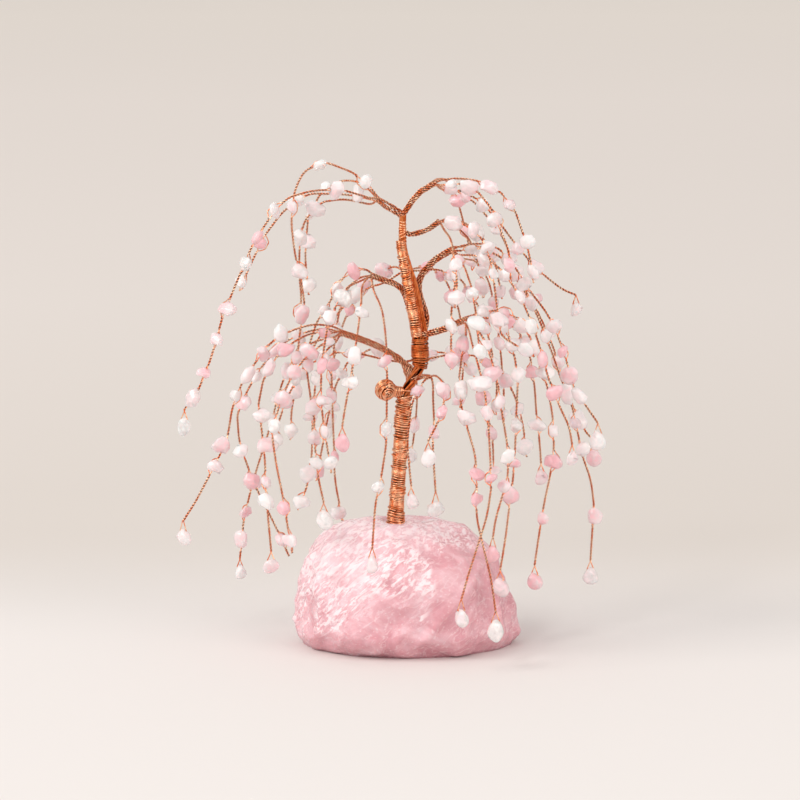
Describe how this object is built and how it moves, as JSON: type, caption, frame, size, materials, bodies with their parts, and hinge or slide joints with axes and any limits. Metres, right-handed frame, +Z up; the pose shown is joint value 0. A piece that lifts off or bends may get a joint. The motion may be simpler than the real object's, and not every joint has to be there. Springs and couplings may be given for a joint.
{
  "type": "gemstone tree ornament",
  "caption": "Copper wire tree with tumbled rose quartz chips on drooping strands, planted in a rough rose quartz boulder, a small table ornament.",
  "frame": {"origin": "centre of the boulder's flat underside, on the table", "axes": "+Z up along the tree, +X to the right and +Y away from the viewer of the front view"},
  "size_m": [0.1414, 0.0912, 0.1609],
  "materials": {
    "rose_quartz_rough": "rough broken crystal",
    "rose_quartz": "tumbled, glossy, slightly clear",
    "milky_quartz": "tumbled, glossy, milky",
    "copper_wire": "bright copper wire",
    "copper_winding": "bright copper wire, wound",
    "clear_glue": "clear set glue"
  },
  "bodies": {
    "tree": {"base_stone": "rose_quartz_rough", "glue_plug": "clear_glue", "trunk_core": "copper_wire", "knob_core": "copper_wire", "lower_wrap": "copper_winding", "collar_wrap": "copper_winding", "upper_wrap": "copper_winding", "knob_wrap": "copper_winding", "top_left_stem": "copper_wire", "top_left_strands": "copper_wire", "top_left_chips": "rose_quartz", "top_right_stem": "copper_wire", "top_right_strands": "copper_wire", "top_right_chips": "rose_quartz", "sprig_stem": "copper_wire", "sprig_strands": "copper_wire", "sprig_chips": "rose_quartz", "upper_right_stem": "copper_wire", "upper_right_strands": "copper_wire", "upper_right_chips": "rose_quartz", "upper_left_stem": "copper_wire", "upper_left_strands": "copper_wire", "upper_left_chips": "rose_quartz", "upper_back_stem": "copper_wire", "upper_back_strands": "copper_wire", "upper_back_chips": "rose_quartz", "lower_right_stem": "copper_wire", "lower_right_strands": "copper_wire", "lower_right_chips": "rose_quartz", "lower_front_stem": "copper_wire", "lower_front_strands": "copper_wire", "lower_front_chips": "rose_quartz", "lower_left_stem": "copper_wire", "lower_left_strands": "copper_wire", "lower_left_chips": "rose_quartz", "lower_back_stem": "copper_wire", "lower_back_strands": "copper_wire", "lower_back_chips": "rose_quartz", "milky_chips": "milky_quartz"},
    "swing_chip_01": {"swing_chip_01": "rose_quartz"},
    "swing_chip_02": {"swing_chip_02": "rose_quartz"},
    "swing_chip_03": {"swing_chip_03": "rose_quartz"},
    "swing_chip_04": {"swing_chip_04": "rose_quartz"},
    "swing_chip_05": {"swing_chip_05": "rose_quartz"},
    "swing_chip_06": {"swing_chip_06": "rose_quartz"},
    "swing_chip_07": {"swing_chip_07": "rose_quartz"},
    "swing_chip_08": {"swing_chip_08": "rose_quartz"},
    "swing_chip_09": {"swing_chip_09": "rose_quartz"},
    "swing_chip_10": {"swing_chip_10": "rose_quartz"},
    "swing_chip_11": {"swing_chip_11": "rose_quartz"},
    "swing_chip_12": {"swing_chip_12": "rose_quartz"},
    "swing_chip_13": {"swing_chip_13": "rose_quartz"},
    "swing_chip_14": {"swing_chip_14": "rose_quartz"},
    "swing_chip_15": {"swing_chip_15": "rose_quartz"},
    "swing_chip_16": {"swing_chip_16": "rose_quartz"},
    "swing_chip_17": {"swing_chip_17": "rose_quartz"},
    "swing_chip_18": {"swing_chip_18": "rose_quartz"},
    "swing_chip_19": {"swing_chip_19": "rose_quartz"},
    "swing_chip_20": {"swing_chip_20": "rose_quartz"},
    "swing_chip_21": {"swing_chip_21": "rose_quartz"}
  },
  "joints": [
    {"name": "swing_chip_01_sway", "type": "hinge", "parent": "tree", "child": "swing_chip_01", "pos_m": [-0.07176, -0.02475, 0.07932], "axis": [0.866, -0.5, 0], "range_deg": [-35, 35]},
    {"name": "swing_chip_02_sway", "type": "hinge", "parent": "tree", "child": "swing_chip_02", "pos_m": [0.05647, 0.0132, 0.11209], "axis": [0.9563, 0.2924, 0], "range_deg": [-35, 35]},
    {"name": "swing_chip_03_sway", "type": "hinge", "parent": "tree", "child": "swing_chip_03", "pos_m": [0.06298, -0.00825, 0.07188], "axis": [0.9976, 0.0698, 0], "range_deg": [-35, 35]},
    {"name": "swing_chip_04_sway", "type": "hinge", "parent": "tree", "child": "swing_chip_04", "pos_m": [0.06191, 0.01155, 0.02248], "axis": [0.9877, -0.1564, 0], "range_deg": [-35, 35]},
    {"name": "swing_chip_05_sway", "type": "hinge", "parent": "tree", "child": "swing_chip_05", "pos_m": [0.05374, -0.02475, 0.06804], "axis": [0.9272, -0.3746, 0], "range_deg": [-35, 35]},
    {"name": "swing_chip_06_sway", "type": "hinge", "parent": "tree", "child": "swing_chip_06", "pos_m": [0.06345, 0.02475, 0.06045], "axis": [0.9063, 0.4226, 0], "range_deg": [-35, 35]},
    {"name": "swing_chip_07_sway", "type": "hinge", "parent": "tree", "child": "swing_chip_07", "pos_m": [-0.02058, -0.03135, 0.07517], "axis": [0.9781, 0.2079, 0], "range_deg": [-35, 35]},
    {"name": "swing_chip_08_sway", "type": "hinge", "parent": "tree", "child": "swing_chip_08", "pos_m": [-0.01098, -0.033, 0.03539], "axis": [0.9998, -0.0175, 0], "range_deg": [-35, 35]},
    {"name": "swing_chip_09_sway", "type": "hinge", "parent": "tree", "child": "swing_chip_09", "pos_m": [0.04224, -0.0132, 0.02556], "axis": [0.9703, -0.2419, 0], "range_deg": [-35, 35]},
    {"name": "swing_chip_10_sway", "type": "hinge", "parent": "tree", "child": "swing_chip_10", "pos_m": [0.03064, -0.0231, 0.02622], "axis": [0.891, -0.454, 0], "range_deg": [-35, 35]},
    {"name": "swing_chip_11_sway", "type": "hinge", "parent": "tree", "child": "swing_chip_11", "pos_m": [0.02788, -0.03465, 0.039], "axis": [0.9397, 0.342, 0], "range_deg": [-35, 35]},
    {"name": "swing_chip_12_sway", "type": "hinge", "parent": "tree", "child": "swing_chip_12", "pos_m": [0.01765, -0.0429, 0.0202], "axis": [0.9925, 0.1219, 0], "range_deg": [-35, 35]},
    {"name": "swing_chip_13_sway", "type": "hinge", "parent": "tree", "child": "swing_chip_13", "pos_m": [0.02886, -0.03795, 0.01515], "axis": [0.9945, -0.1045, 0], "range_deg": [-35, 35]},
    {"name": "swing_chip_14_sway", "type": "hinge", "parent": "tree", "child": "swing_chip_14", "pos_m": [0.04511, 0.01155, 0.05573], "axis": [0.9455, -0.3256, 0], "range_deg": [-35, 35]},
    {"name": "swing_chip_15_sway", "type": "hinge", "parent": "tree", "child": "swing_chip_15", "pos_m": [0.00962, -0.01815, 0.05053], "axis": [0.8829, 0.4695, 0], "range_deg": [-35, 35]},
    {"name": "swing_chip_16_sway", "type": "hinge", "parent": "tree", "child": "swing_chip_16", "pos_m": [0.0071, -0.02805, 0.06971], "axis": [0.9659, 0.2588, 0], "range_deg": [-35, 35]},
    {"name": "swing_chip_17_sway", "type": "hinge", "parent": "tree", "child": "swing_chip_17", "pos_m": [0.00162, -0.02475, 0.05455], "axis": [0.9994, 0.0349, 0], "range_deg": [-35, 35]},
    {"name": "swing_chip_18_sway", "type": "hinge", "parent": "tree", "child": "swing_chip_18", "pos_m": [-0.07326, -0.01155, 0.03996], "axis": [0.9816, -0.1908, 0], "range_deg": [-35, 35]},
    {"name": "swing_chip_19_sway", "type": "hinge", "parent": "tree", "child": "swing_chip_19", "pos_m": [-0.04397, -0.0231, 0.03253], "axis": [0.9135, -0.4067, 0], "range_deg": [-35, 35]},
    {"name": "swing_chip_20_sway", "type": "hinge", "parent": "tree", "child": "swing_chip_20", "pos_m": [-0.05631, 0.02475, 0.02069], "axis": [0.9205, 0.3907, 0], "range_deg": [-35, 35]},
    {"name": "swing_chip_21_sway", "type": "hinge", "parent": "tree", "child": "swing_chip_21", "pos_m": [-0.02693, -0.01815, 0.04755], "axis": [0.9848, 0.1736, 0], "range_deg": [-35, 35]}
  ]
}
